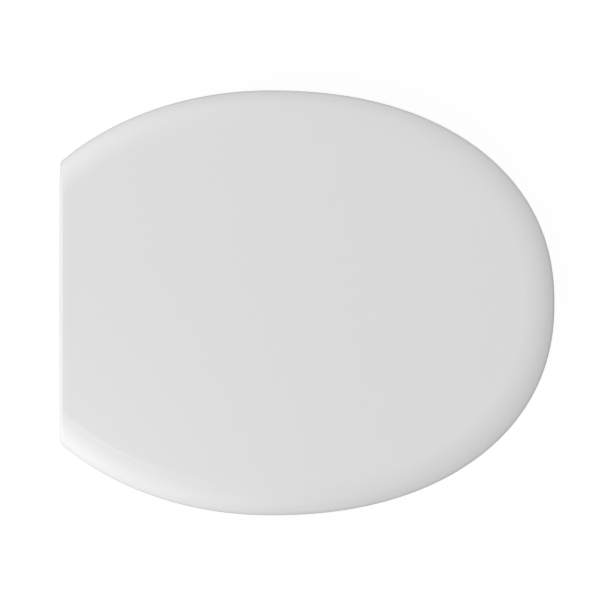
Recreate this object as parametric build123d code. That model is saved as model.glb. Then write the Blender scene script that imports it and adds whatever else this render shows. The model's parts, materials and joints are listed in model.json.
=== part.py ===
from build123d import *
import math
import os

# A toilet seat with its lid closed. Sizes are millimetres.
# The origin is midway between the two fixing bolts, on the deck of the bowl.
# +X points to the front of the seat, +Y to the sitter's left and +Z up.

# Fixing to the bowl
BOLT_SPACING = 155.0
DECK_THICKNESS = 16.0
HINGE_SETBACK = 31.0
AXIS_HEIGHT = 24.0

# Lid, seen from above
LID_LENGTH = 430.0
LID_WIDTH = 370.0
LID_REAR_WIDTH = 246.0
LID_WIDEST_FROM_REAR = 182.0
LID_FRONT_FULLNESS = 2.2
LID_OVERHANG = 13.0
OUTLINE_SPANS = 6

# Lid, in section
LID_WALL = 5.0
LID_LAND = 2.5
LID_EDGE_ROUND = 12.0
LID_SHOULDER_ROUND = 32.0
LID_SLOPE_LENGTH = 1.6
LID_SLOPE_ANGLE = 45.0
LID_CROWN = 6.0
LID_REAR_ROUND = 4.0
LID_RIM_CHAMFER = 1.0
LID_RIM_GAP = 2.0
LID_NOTCH_LIP = 1.0

# Ring
RING_INSET = 3.0
RING_DEPTH = 17.0
RING_DISH = 5.0
RING_FRONT_WIDTH = 62.0
RING_SIDE_WIDTH = 62.0
OPENING_TO_BOLTS = 58.0
RING_CORNER = 25.0
RING_OUTER_ROUND = 9.0
RING_INNER_ROUND = 6.0
RING_FOOT_ROUND = 2.0
RING_WALL = 10.0
RING_SKIN = 6.5
CHANNEL_WIDTH = 40.0
POST_CLEARANCE = 4.0

# Hinge
PIN_RADIUS = 4.0
BARREL_RADIUS = 8.0
BARREL_LENGTH = 28.0
LUG_RADIUS = 9.0
LUG_WIDTH = 14.0
LUG_ROOT = 26.0
BUSH_WALL = 1.5
BUSH_COLLAR = 1.2
COLLAR_RADIUS = 7.5
PIN_HEAD_RADIUS = 6.5
PIN_HEAD = 3.0
CLIP_RADIUS = 7.0
CLIP_THICKNESS = 1.5
PIN_TAIL = 2.0
SIDE_CLEARANCE = 0.3
RUNNING_CLEARANCE = 0.05

# Hinge posts and what is under them
COLUMN_RADIUS = 8.0
COLUMN_RISE = 21.0
ARM_WIDTH = 10.0
ARM_STEP = 1.0
ARM_END_RADIUS = 6.0
ARM_ROUND = 2.0
FLANGE_RADIUS = 12.5
FLANGE_THICKNESS = 3.5
GASKET_RADIUS = 13.5
GASKET_THICKNESS = 2.5

# Fixing bolts, washers and nuts
BOLT_HEAD_RADIUS = 5.0
BOLT_HEAD_DEPTH = 14.0
BOLT_RADIUS = 4.0
THREAD_RADIUS = 3.7
BOLT_REACH = 62.0
BOLT_TIP = 1.5
CONE_TIP_RADIUS = 6.5
CONE_RADIUS = 11.5
CONE_DEPTH = 6.0
CONE_RIM = 2.0
WASHER_RADIUS = 13.0
WASHER_THICKNESS = 2.0
NUT_RADIUS = 8.5
NUT_HEIGHT = 10.0
WING_SPAN = 42.0
WING_THICKNESS = 3.0
WING_HEIGHT = 14.0
WING_TIP_RADIUS = 4.0
NUT_TAPER = 1.5
SLIP_CLEARANCE = 0.3

# Rubber bumpers
BUMPER_HEIGHT = 5.0
BUMPER_LENGTH = 34.0
BUMPER_WIDTH = 14.0
BUMPER_CHAMFER = 1.5
BUMPER_BOSS_MARGIN = 2.0
BUMPER_STEM_RADIUS = 2.0
BUMPER_STEM_LENGTH = 6.0
BUMPER_STEM_SPACING = 16.0
RING_BUMPER_ANGLES = {"front": 42.0, "rear": 137.0}
BUTTON_RADIUS = 6.5
BUTTON_HEIGHT = 9.0
BUTTON_CHAMFER = 2.0
BUTTON_GAP = 0.6
BUTTON_BOSS_RADIUS = 8.0
BUTTON_STEM_RADIUS = 2.5
BUTTON_STEM_LENGTH = 7.0
LID_BUTTON_ANGLE = 30.0

# Places that follow from the sizes above
AXIS_X = -HINGE_SETBACK
LID_REAR = AXIS_X - LID_OVERHANG
LID_FRONT = LID_REAR + LID_LENGTH
LID_MIDDLE = LID_REAR + LID_LENGTH / 2
WIDEST_X = LID_REAR + LID_WIDEST_FROM_REAR
RING_BOTTOM = BUMPER_HEIGHT
RING_TOP = RING_BOTTOM + RING_DEPTH
RING_REAR = GASKET_RADIUS + POST_CLEARANCE
RING_FRONT = LID_FRONT - RING_INSET
RING_MIDDLE = (RING_FRONT + RING_REAR) / 2
LID_RIM = RING_TOP + LID_RIM_GAP
SLOPE = math.radians(LID_SLOPE_ANGLE)
EDGE_RISE = LID_EDGE_ROUND * math.cos(SLOPE)
SLOPE_RISE = LID_SLOPE_LENGTH * math.sin(SLOPE)
SHOULDER_RISE = LID_SHOULDER_ROUND * (1 - math.cos(SLOPE))
LID_SHOULDER = LID_RIM + LID_LAND + EDGE_RISE + SLOPE_RISE + SHOULDER_RISE
LID_TOP = LID_SHOULDER + LID_CROWN
OPENING_FRONT = RING_FRONT - RING_FRONT_WIDTH
OPENING_HALF_WIDTH = LID_WIDTH / 2 - RING_INSET - RING_SIDE_WIDTH
BOLT_Y = BOLT_SPACING / 2
BARREL_INNER = BOLT_Y - BARREL_LENGTH / 2
BARREL_OUTER = BOLT_Y + BARREL_LENGTH / 2
LUG_STANDOFF = SIDE_CLEARANCE + BUSH_COLLAR
LID_LUG = BARREL_OUTER + LUG_STANDOFF
RING_LUG = BARREL_INNER - LUG_STANDOFF - LUG_WIDTH
BUSH_RADIUS = PIN_RADIUS + RUNNING_CLEARANCE + BUSH_WALL


def outline_points(inset, rear_x):
    """Half superellipse in front of the widest line, ellipse behind it, cut off straight at rear_x."""
    half_width = LID_WIDTH / 2 - inset
    front_axis = LID_LENGTH - LID_WIDEST_FROM_REAR - inset
    rear_axis = LID_WIDEST_FROM_REAR / math.sqrt(1 - (LID_REAR_WIDTH / LID_WIDTH) ** 2) - inset
    last_turn = math.asin((WIDEST_X - rear_x) / rear_axis)
    half = []
    for step in range(OUTLINE_SPANS):
        turn = math.pi / 2 * step / OUTLINE_SPANS
        along = math.cos(turn) / front_axis
        across = math.sin(turn) / half_width
        reach = (along**LID_FRONT_FULLNESS + across**LID_FRONT_FULLNESS) ** (-1 / LID_FRONT_FULLNESS)
        half.append((WIDEST_X + reach * math.cos(turn), reach * math.sin(turn)))
    for step in range(OUTLINE_SPANS + 1):
        turn = last_turn * step / OUTLINE_SPANS
        half.append((WIDEST_X - rear_axis * math.sin(turn), half_width * math.cos(turn)))
    return [(x, -y) for x, y in reversed(half[1:])] + half


def outline(inset, rear_x):
    """Face inside the lid's outline moved inwards by an inset."""
    points = outline_points(inset, rear_x)
    return make_face(Spline(*points) + Line(points[-1], points[0]))


def opening(margin):
    """Egg-shaped face of the ring's opening, widened by a margin: two half ellipses."""
    half_width = OPENING_HALF_WIDTH + margin
    front_axis = OPENING_FRONT - WIDEST_X + margin
    rear_axis = WIDEST_X - OPENING_TO_BOLTS + margin
    front = EllipticalCenterArc((WIDEST_X, 0), front_axis, half_width, -90, arc_size=180)
    rear = EllipticalCenterArc((WIDEST_X, 0), rear_axis, half_width, 90, arc_size=180)
    return make_face(front + rear)


def ring_point(angle):
    """Middle of the ring's width at an angle round the widest line's centre."""
    turn = math.radians(angle)
    inset = RING_INSET + RING_SIDE_WIDTH / 2
    half_width = LID_WIDTH / 2 - inset
    front_axis = LID_LENGTH - LID_WIDEST_FROM_REAR - inset
    rear_axis = (WIDEST_X - OPENING_TO_BOLTS + WIDEST_X - RING_REAR) / 2
    axis = front_axis if math.cos(turn) > 0 else rear_axis
    return WIDEST_X + axis * math.cos(turn), half_width * math.sin(turn)


def slab(profile, y_low, y_high):
    """Profile drawn in X and Z, made solid between two places across the seat."""
    return Pos(0, y_high, 0) * extrude(Plane.XZ * profile, y_high - y_low)


def rod(radius, y_low, y_high):
    """Round bar on the hinge axis."""
    return slab(Pos(AXIS_X, AXIS_HEIGHT) * Circle(radius), y_low, y_high)


def disc(radius, z_low, z_high):
    """Upright cylinder on the Z axis."""
    return Pos(0, 0, z_low) * extrude(Circle(radius), z_high - z_low)


def both_sides(piece):
    """A piece on the left with its mirror image on the right."""
    return piece + mirror(piece, about=Plane.XZ)


def lid_form(inset):
    """Crowned block with a sloping shoulder, rounded above and below, its skin moved inwards by an inset."""
    crown_radius = ((LID_LENGTH / 2) ** 2 + LID_CROWN**2) / (2 * LID_CROWN)
    ball = Pos(LID_MIDDLE, 0, LID_TOP - inset - crown_radius) * Rot(90, 0, 0) * Sphere(crown_radius)
    rear_x = LID_REAR + inset
    wall_turn = math.tan((math.pi / 2 - SLOPE) / 2)
    wall_top = LID_RIM + LID_LAND + (LID_EDGE_ROUND - inset) * wall_turn
    rise = LID_TOP - wall_top
    shoulder_foot = Pos(0, 0, wall_top) * outline(inset, rear_x)
    shoulder_top = Pos(0, 0, LID_TOP) * outline(inset + rise / math.tan(SLOPE), rear_x)
    block = extrude(outline(inset, rear_x), wall_top) + loft([shoulder_foot, shoulder_top], ruled=True)
    block = block & ball
    crown_edge = block.faces().sort_by(Axis.Z)[-1].edges().sort_by(SortBy.LENGTH)[-1]
    block = fillet(crown_edge, LID_SHOULDER_ROUND - inset)
    level_edges = block.edges().filter_by_position(Axis.Z, wall_top, wall_top)
    return fillet(level_edges.sort_by(SortBy.LENGTH)[-1], LID_EDGE_ROUND - inset)


def lid_envelope():
    """Outer form of the lid from the rim up, with its rear and rim edges rounded."""
    form = lid_form(0)
    rear_edges = form.faces().sort_by(Axis.X)[0].edges().filter_by(lambda edge: edge.center().Z > 0)
    form = fillet(rear_edges, LID_REAR_ROUND)
    form = split(form, Plane.XY.offset(LID_RIM), keep=Keep.TOP)
    rim_edge = form.faces().sort_by(Axis.Z)[0].edges().sort_by(SortBy.LENGTH)[-1]
    return chamfer(rim_edge, LID_RIM_CHAMFER)


def lid_height(x, y):
    """Height of the lid's crown above a point."""
    crown_radius = ((LID_LENGTH / 2) ** 2 + LID_CROWN**2) / (2 * LID_CROWN)
    return LID_TOP - crown_radius + math.sqrt(crown_radius**2 - (x - LID_MIDDLE) ** 2 - y**2)


def lid_lug():
    """Hinge lug of the lid: round at the pin, widening into the underside of the skin."""
    root_height = LID_SHOULDER
    root_middle = LID_REAR + LID_WALL / 2 + LUG_ROOT / 2
    root = Pos(root_middle, root_height - LID_WALL / 2) * Rectangle(LUG_ROOT, LID_WALL)
    eye = Pos(AXIS_X, AXIS_HEIGHT) * Circle(LUG_RADIUS)
    profile = make_hull((eye + root).edges())
    return slab(profile, LID_LUG, LID_LUG + LUG_WIDTH)


def lid():
    """Crowned shell with notches round the hinge posts, hinge lugs and bosses for two buttons."""
    envelope = lid_envelope()
    shell = envelope - lid_form(LID_WALL)
    notch_top = LID_SHOULDER - LID_WALL - LID_NOTCH_LIP
    notch_inner = RING_LUG - SIDE_CLEARANCE - POST_CLEARANCE
    notch_profile = Pos(LID_REAR, notch_top / 2) * Rectangle(2 * LID_WALL + LID_REAR_ROUND, notch_top)
    shell -= both_sides(slab(notch_profile, notch_inner, LID_LUG))
    lug = lid_lug()
    x, y = ring_point(LID_BUTTON_ANGLE)
    boss = Pos(x, y, 0) * disc(BUTTON_BOSS_RADIUS, button_seat(), lid_height(x, y) - LID_WALL / 2)
    low_half = disc(LID_LENGTH, -LID_TOP, LID_RIM + LID_WALL)
    shell += both_sides(lug & (envelope + low_half)) + both_sides(boss)
    shell -= both_sides(rod(BUSH_RADIUS + RUNNING_CLEARANCE, LID_LUG, LID_LUG + LUG_WIDTH))
    hole_radius = BUTTON_STEM_RADIUS + RUNNING_CLEARANCE
    stem_hole = disc(hole_radius, button_seat(), button_seat() + BUTTON_STEM_LENGTH)
    return shell - both_sides(Pos(x, y, 0) * stem_hole)


def dish(skin):
    """Ball that hollows the ring's top, lowered by a skin thickness."""
    outer = RING_FRONT - RING_MIDDLE
    inner = OPENING_FRONT - RING_MIDDLE
    radius = (outer**2 - inner**2) / (2 * RING_DISH)
    bottom = RING_TOP - skin - radius + math.sqrt(radius**2 - outer**2)
    return Pos(RING_MIDDLE, 0, bottom + radius) * Rot(90, 0, 0) * Sphere(radius)


def ring_height(x, y):
    """Height of the ring's dished top above a point."""
    outer = RING_FRONT - RING_MIDDLE
    inner = OPENING_FRONT - RING_MIDDLE
    radius = (outer**2 - inner**2) / (2 * RING_DISH)
    centre = RING_TOP + math.sqrt(radius**2 - outer**2)
    return centre - math.sqrt(radius**2 - (x - RING_MIDDLE) ** 2 - y**2)


def button_seat():
    """Height of the lid's bosses, where the rubber buttons sit."""
    return ring_height(*ring_point(LID_BUTTON_ANGLE)) + BUTTON_GAP + BUTTON_HEIGHT


def ring_body():
    """Dished ring with rounded edges."""
    plan = outline(RING_INSET, RING_REAR) - opening(0)
    body = Pos(0, 0, RING_BOTTOM) * extrude(plan, LID_TOP) - dish(0)
    body = fillet(body.edges().filter_by(Axis.Z).sort_by(Axis.X)[:2], RING_CORNER)
    body = fillet(body.faces().filter_by(GeomType.SPHERE)[0].outer_wire().edges(), RING_OUTER_ROUND)
    body = fillet(body.faces().filter_by(GeomType.SPHERE)[0].inner_wires()[0].edges(), RING_INNER_ROUND)
    return fillet(body.faces().sort_by(Axis.Z)[0].edges(), RING_FOOT_ROUND)


def ring_channel():
    """Hollow under the ring, a band round the opening inside the outer wall."""
    band = opening(RING_WALL + CHANNEL_WIDTH) - opening(RING_WALL)
    band = band & outline(RING_INSET + RING_WALL, RING_REAR + RING_WALL)
    return Pos(0, 0, RING_BOTTOM) * extrude(band, LID_TOP) - dish(RING_SKIN)


def ring_lug():
    """Hinge lug of the ring: round at the pin, reaching into the rear of the ring."""
    eye = Pos(AXIS_X, AXIS_HEIGHT) * Circle(LUG_RADIUS)
    root_height = RING_DEPTH - 2 * RING_FOOT_ROUND
    root_place = Pos(RING_REAR + RING_WALL / 2, RING_BOTTOM + RING_DEPTH / 2)
    root = root_place * Rectangle(RING_WALL, root_height)
    return slab(make_hull((eye + root).edges()), RING_LUG, RING_LUG + LUG_WIDTH)


def bumper_place(end):
    """Place and turn of a ring bumper on the left."""
    angle = RING_BUMPER_ANGLES[end]
    x, y = ring_point(angle)
    return Pos(x, y, 0) * Rot(0, 0, angle + 90)


def stems(radius, length):
    """Pair of upright stems on a ring bumper's seat."""
    stem = disc(radius, RING_BOTTOM, RING_BOTTOM + length)
    half = BUMPER_STEM_SPACING / 2
    return Pos(half, 0, 0) * stem + Pos(-half, 0, 0) * stem


def seat_ring():
    """Ring with its hollow underside, bumper bosses and hinge lugs."""
    ring = ring_body() - ring_channel()
    for end in RING_BUMPER_ANGLES:
        x, y = ring_point(RING_BUMPER_ANGLES[end])
        boss_top = ring_height(x, y) - RING_SKIN / 2
        boss_plan = SlotOverall(BUMPER_LENGTH - BUMPER_BOSS_MARGIN, BUMPER_WIDTH - BUMPER_BOSS_MARGIN)
        boss = Pos(0, 0, RING_BOTTOM) * extrude(boss_plan, boss_top - RING_BOTTOM)
        ring += both_sides(bumper_place(end) * boss)
        holes = stems(BUMPER_STEM_RADIUS + RUNNING_CLEARANCE, BUMPER_STEM_LENGTH)
        ring -= both_sides(bumper_place(end) * holes)
    ring += both_sides(ring_lug())
    return ring - both_sides(rod(BUSH_RADIUS + RUNNING_CLEARANCE, RING_LUG, RING_LUG + LUG_WIDTH))


def ring_bumper(end):
    """Oblong rubber pad with two stems pushed into the ring."""
    pad = extrude(SlotOverall(BUMPER_LENGTH, BUMPER_WIDTH), BUMPER_HEIGHT)
    pad = chamfer(pad.faces().sort_by(Axis.Z)[0].edges(), BUMPER_CHAMFER)
    return bumper_place(end) * (pad + stems(BUMPER_STEM_RADIUS, BUMPER_STEM_LENGTH))


def lid_bumper():
    """Round rubber button under the lid, its foot just above the ring."""
    seat = button_seat()
    button = disc(BUTTON_RADIUS, seat - BUTTON_HEIGHT, seat)
    button = chamfer(button.edges().sort_by(Axis.Z)[0], BUTTON_CHAMFER)
    x, y = ring_point(LID_BUTTON_ANGLE)
    return Pos(x, y, 0) * (button + disc(BUTTON_STEM_RADIUS, seat, seat + BUTTON_STEM_LENGTH))


def hinge_post():
    """Cast pillar: flared foot, round column with a domed top, arm back to the barrel."""
    foot = GASKET_THICKNESS
    flange_top = foot + FLANGE_THICKNESS
    flare = FLANGE_RADIUS - COLUMN_RADIUS
    side = Polyline(
        (0, foot),
        (FLANGE_RADIUS, foot),
        (FLANGE_RADIUS, flange_top),
        (COLUMN_RADIUS, flange_top + flare),
        (COLUMN_RADIUS, COLUMN_RISE),
    )
    side += CenterArc((0, COLUMN_RISE), COLUMN_RADIUS, 0, 90)
    side += Line((0, COLUMN_RISE + COLUMN_RADIUS), (0, foot))
    column = Pos(0, BOLT_Y, 0) * revolve(Plane.XZ * make_face(side), Axis.Z)
    arm_end = Pos(0, COLUMN_RISE) * Circle(ARM_END_RADIUS)
    arm_eye = Pos(AXIS_X, AXIS_HEIGHT) * Circle(BARREL_RADIUS - ARM_STEP)
    arm = slab(make_hull((arm_eye + arm_end).edges()), BOLT_Y - ARM_WIDTH / 2, BOLT_Y + ARM_WIDTH / 2)
    cheeks = arm.faces().sort_by(Axis.Y)
    arm = fillet(cheeks[0].edges() + cheeks[-1].edges(), ARM_ROUND)
    post = column + arm + rod(BARREL_RADIUS, BARREL_INNER, BARREL_OUTER)
    post -= rod(PIN_RADIUS + RUNNING_CLEARANCE, BARREL_INNER, BARREL_OUTER)
    return post - Pos(0, BOLT_Y, 0) * disc(BOLT_HEAD_RADIUS + RUNNING_CLEARANCE, foot, BOLT_HEAD_DEPTH)


def hinge_pin():
    """Headed pin: the head outside the lid's lug, the tail past the ring's lug."""
    head = LID_LUG + LUG_WIDTH + SIDE_CLEARANCE
    tail = RING_LUG - SIDE_CLEARANCE - CLIP_THICKNESS - PIN_TAIL
    return rod(PIN_RADIUS, tail, head) + rod(PIN_HEAD_RADIUS, head, head + PIN_HEAD)


def pin_clip():
    """Push-on disc that keeps the pin from sliding out."""
    outer = RING_LUG - SIDE_CLEARANCE
    inner = outer - CLIP_THICKNESS
    return rod(CLIP_RADIUS, inner, outer) - rod(PIN_RADIUS + RUNNING_CLEARANCE, inner, outer)


def lid_bush():
    """Collared sleeve in the lid's lug, its collar towards the barrel."""
    far = LID_LUG + LUG_WIDTH
    near = LID_LUG - BUSH_COLLAR
    sleeve = rod(BUSH_RADIUS, near, far) + rod(COLLAR_RADIUS, near, LID_LUG)
    return sleeve - rod(PIN_RADIUS + RUNNING_CLEARANCE, near, far)


def ring_bush():
    """Collared sleeve in the ring's lug, its collar towards the barrel."""
    face = RING_LUG + LUG_WIDTH
    near = face + BUSH_COLLAR
    sleeve = rod(BUSH_RADIUS, RING_LUG, near) + rod(COLLAR_RADIUS, face, near)
    return sleeve - rod(PIN_RADIUS + RUNNING_CLEARANCE, RING_LUG, near)


def base_gasket():
    """Soft disc between the post and the bowl."""
    hole = BOLT_HEAD_RADIUS + SLIP_CLEARANCE
    return disc(GASKET_RADIUS, 0, GASKET_THICKNESS) - disc(hole, 0, GASKET_THICKNESS)


def fixing_bolt():
    """Bolt held in the post, plain through the bowl's deck and threaded below it."""
    head = disc(BOLT_HEAD_RADIUS, 0, BOLT_HEAD_DEPTH)
    shank = disc(BOLT_RADIUS, -DECK_THICKNESS, 0)
    thread = disc(THREAD_RADIUS, -BOLT_REACH, -DECK_THICKNESS)
    thread = chamfer(thread.edges().sort_by(Axis.Z)[0], BOLT_TIP)
    return head + shank + thread


def cone_washer():
    """Rubber cone that points up into the bowl's hole."""
    tip = -DECK_THICKNESS - SLIP_CLEARANCE
    hole = THREAD_RADIUS + SLIP_CLEARANCE
    shoulder = tip - CONE_DEPTH
    base = shoulder - CONE_RIM
    side = Polyline(
        (hole, base),
        (CONE_RADIUS, base),
        (CONE_RADIUS, shoulder),
        (CONE_TIP_RADIUS, tip),
        (hole, tip),
        close=True,
    )
    return revolve(Plane.XZ * make_face(side), Axis.Z)


def washer_top():
    """Height of the flat washer's upper face, against the cone."""
    return -DECK_THICKNESS - SLIP_CLEARANCE - CONE_DEPTH - CONE_RIM


def flat_washer():
    """Steel disc between the cone and the nut."""
    hole = THREAD_RADIUS + SLIP_CLEARANCE
    low = washer_top() - WASHER_THICKNESS
    return disc(WASHER_RADIUS, low, washer_top()) - disc(hole, low, washer_top())


def wing_nut():
    """Tapered hub with two upswept wings."""
    top = washer_top() - WASHER_THICKNESS
    base = top - NUT_HEIGHT
    side = Polyline((0, top), (NUT_RADIUS, top), (NUT_RADIUS - NUT_TAPER, base), (0, base), close=True)
    hub = revolve(Plane.XZ * make_face(side), Axis.Z)
    tip = Pos(WING_SPAN / 2 - WING_TIP_RADIUS, base - WING_HEIGHT + NUT_HEIGHT + WING_TIP_RADIUS)
    root = Pos(NUT_RADIUS / 2, top - NUT_HEIGHT / 2) * Rectangle(NUT_RADIUS / 2, NUT_HEIGHT - 2 * NUT_TAPER)
    wing_profile = make_hull((tip * Circle(WING_TIP_RADIUS) + root).edges())
    wing = slab(wing_profile, -WING_THICKNESS / 2, WING_THICKNESS / 2)
    nut = hub + wing + mirror(wing, about=Plane.YZ)
    return nut - disc(THREAD_RADIUS + RUNNING_CLEARANCE, base, top)


def save(name, piece):
    """Writes one piece."""
    export_step(piece, f"parts/{name}.step")


def main():
    """Builds every piece and writes it where it sits in the seat."""
    os.makedirs("parts", exist_ok=True)
    save("lid", lid())
    save("seat_ring", seat_ring())
    at_bolt = Pos(0, BOLT_Y, 0)
    pieces = {
        "lid_bumper": lid_bumper(),
        "ring_bumper_front": ring_bumper("front"),
        "ring_bumper_rear": ring_bumper("rear"),
        "hinge_post": hinge_post(),
        "hinge_pin": hinge_pin(),
        "pin_clip": pin_clip(),
        "lid_bush": lid_bush(),
        "ring_bush": ring_bush(),
        "base_gasket": at_bolt * base_gasket(),
        "fixing_bolt": at_bolt * fixing_bolt(),
        "cone_washer": at_bolt * cone_washer(),
        "flat_washer": at_bolt * flat_washer(),
        "wing_nut": at_bolt * wing_nut(),
    }
    for name, piece in pieces.items():
        save(f"{name}_left", piece)
        save(f"{name}_right", mirror(piece, about=Plane.XZ))


main()
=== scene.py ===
import json

import bmesh
import bpy
import numpy as np
from bpy.props import FloatProperty, FloatVectorProperty, PointerProperty
from bpy.types import Operator, Panel, PropertyGroup
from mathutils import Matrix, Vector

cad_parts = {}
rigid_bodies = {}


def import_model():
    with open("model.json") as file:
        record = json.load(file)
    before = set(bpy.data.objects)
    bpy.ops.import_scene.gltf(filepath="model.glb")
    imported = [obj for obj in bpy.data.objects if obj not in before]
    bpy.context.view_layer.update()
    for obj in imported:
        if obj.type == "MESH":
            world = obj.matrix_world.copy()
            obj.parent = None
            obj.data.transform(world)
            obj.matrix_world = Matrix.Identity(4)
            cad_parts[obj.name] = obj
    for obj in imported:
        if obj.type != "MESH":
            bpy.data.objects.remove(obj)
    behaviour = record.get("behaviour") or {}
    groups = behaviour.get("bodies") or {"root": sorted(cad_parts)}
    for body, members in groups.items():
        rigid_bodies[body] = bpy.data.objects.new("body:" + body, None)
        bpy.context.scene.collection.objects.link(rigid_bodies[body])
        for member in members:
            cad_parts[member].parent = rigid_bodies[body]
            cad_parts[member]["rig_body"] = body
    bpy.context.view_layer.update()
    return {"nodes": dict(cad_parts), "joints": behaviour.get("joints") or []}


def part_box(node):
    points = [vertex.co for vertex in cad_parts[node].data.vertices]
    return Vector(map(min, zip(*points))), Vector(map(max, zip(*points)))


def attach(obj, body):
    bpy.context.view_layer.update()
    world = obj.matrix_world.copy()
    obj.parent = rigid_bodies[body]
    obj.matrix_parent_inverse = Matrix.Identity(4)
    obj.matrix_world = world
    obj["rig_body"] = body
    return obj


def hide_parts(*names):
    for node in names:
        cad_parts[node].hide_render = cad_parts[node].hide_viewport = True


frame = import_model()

bl_info = {
    "name": "Toilet seat",
    "version": (1, 0, 0),
    "blender": (4, 5, 0),
    "location": "View3D > Sidebar > Seat",
    "description": "Builds a toilet seat: lid, ring, bumpers, hinges and fixings",
    "category": "Object",
}

SIDES = {"left": 1.0, "right": -1.0}
HINGE_X = frame["joints"][0]["pos_m"][0]
HINGE_Z = frame["joints"][0]["pos_m"][2]
QUARTER_TURN = np.pi / 2
FULL_TURN = 2 * np.pi


def box(node):
    """Lowest and highest corner of a CAD node as arrays."""
    low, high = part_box(node)
    return np.array(low), np.array(high)


LID_LOW, LID_HIGH = box("lid")
POST_LOW, POST_HIGH = box("hinge_post_left")
LID_BUSH_LOW, LID_BUSH_HIGH = box("lid_bush_left")
RING_BUSH_LOW, RING_BUSH_HIGH = box("ring_bush_left")


# Sizes and colours


def size(name, description, default):
    """A length in metres."""
    return FloatProperty(
        name=name,
        description=description,
        default=float(default),
        min=0.0,
        precision=4,
        subtype="DISTANCE",
        unit="LENGTH",
    )


def angle(name, description, degrees):
    """A turn, given in degrees."""
    turn = float(np.radians(degrees))
    return FloatProperty(name=name, description=description, default=turn, subtype="ANGLE", unit="ROTATION")


def colour(name, description, default):
    """A linear colour without alpha."""
    return FloatVectorProperty(
        name=name, description=description, default=default, size=3, min=0.0, max=1.0, subtype="COLOR"
    )


class SeatLidSizes(PropertyGroup):
    """Sizes of the lid"""

    length: size("Length", "Rear edge to front", LID_HIGH[0] - LID_LOW[0])
    width: size("Width", "Across the widest line", LID_HIGH[1] - LID_LOW[1])
    rear_width: size("Rear width", "Length of the straight rear edge", 0.246)
    widest: size("Widest line", "From the rear edge to the widest line", 0.182)
    fullness: FloatProperty(
        name="Front fullness",
        description="Power of the front's curve, 2 for an ellipse",
        default=2.2,
        min=1.5,
        max=4.0,
    )
    top: size("Top", "Height of the crown", LID_HIGH[2])
    rim: size("Rim", "Height of the rim", 0.024)
    wall: size("Wall", "Thickness of the shell", 0.005)
    land: size("Land", "Height of the upright edge", 0.0025)
    edge_round: size("Edge round", "Radius above the upright edge", 0.012)
    slope: angle("Slope", "Slope between the two rounds", 45.0)
    shoulder_round: size("Shoulder round", "Radius from the slope to the crown", 0.032)
    crown: size("Crown", "Rise of the top along its length", 0.006)
    rear_round: size("Rear round", "Radius along the straight rear edge", 0.004)
    inner_round: size("Inner round", "Radius inside the straight rear edge", 0.0015)
    rim_round: size("Rim round", "Radius at the rim", 0.001)
    notch_top: size("Notch top", "Height of the notches round the hinge posts", 0.0395)
    notch_inner: size("Notch inner side", "From the middle to the notch", 0.0437)
    notch_outer: size("Notch outer side", "From the middle to the notch", 0.093)
    boss_radius: size("Boss radius", "Bosses that hold the buttons", 0.008)


class SeatRingSizes(PropertyGroup):
    """Sizes of the ring"""

    inset: size("Inset", "From the lid's outline", 0.003)
    rear: size("Rear edge", "From the bolts to the ring", 0.0175)
    bottom: size("Bottom", "Height of the underside", 0.005)
    depth: size("Depth", "Height of the outer edge above the underside", 0.017)
    dish: size("Dish", "Fall of the top to the opening", 0.005)
    width: size("Ring width", "Outer edge to opening at the front and sides", 0.062)
    opening_rear: size("Opening rear", "From the bolts to the opening", 0.058)
    corner: size("Rear corners", "Radius of the corners seen from above", 0.025)
    outer_round: size("Outer round", "Radius of the outer edge", 0.009)
    inner_round: size("Inner round", "Radius of the opening's edge", 0.006)
    foot_round: size("Foot round", "Radius of the lower edges", 0.002)
    wall: size("Wall", "Thickness of the walls round the hollow", 0.010)
    skin: size("Skin", "Thickness above the hollow", 0.0065)
    channel: size("Hollow width", "Width of the hollow under the ring", 0.040)


class SeatBumperSizes(PropertyGroup):
    """Sizes of the rubber bumpers"""

    length: size("Pad length", "Pads under the ring", 0.034)
    width: size("Pad width", "Pads under the ring", 0.014)
    edge: size("Edge", "Radius of the pads' lower edge", 0.0015)
    front_angle: angle("Front pads", "Turn of the front pads", 132.0)
    rear_angle: angle("Rear pads", "Turn of the rear pads", 227.0)
    button_height: size("Button height", "Buttons under the lid", 0.009)
    button_edge: size("Button edge", "Radius of the buttons' lower edge", 0.002)
    stem: size("Stem", "Radius of the buttons' stems", 0.0025)


class SeatHingeSizes(PropertyGroup):
    """Sizes of the hinges"""

    pin: size("Pin", "Radius of the pins", 0.004)
    pin_head: size("Pin head", "Radius of the heads", 0.0065)
    head_depth: size("Head depth", "Thickness of the heads", 0.003)
    barrel: size("Barrel", "Radius of the barrels", 0.008)
    barrel_length: size("Barrel length", "Along the hinge axis", 0.028)
    lug: size("Lug", "Radius of the lugs", 0.009)
    lug_width: size("Lug width", "Along the hinge axis", 0.014)
    bush: size("Bush", "Outer radius of the bushes", 0.00555)
    collar: size("Collar", "Radius of the bushes' collars", 0.0075)
    collar_depth: size("Collar depth", "Thickness of the collars", 0.0012)
    column: size("Column", "Radius of the posts", 0.008)
    column_rise: size("Column rise", "Height of the dome's centre", 0.021)
    flange: size("Flange", "Thickness of the posts' feet", 0.0035)
    arm_width: size("Arm width", "Along the hinge axis", 0.010)
    arm_end: size("Arm end", "Radius of the arm in the column", 0.006)
    arm_eye: size("Arm eye", "Radius of the arm round the barrel", 0.007)
    arm_round: size("Arm round", "Radius of the arms' edges", 0.002)


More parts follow.
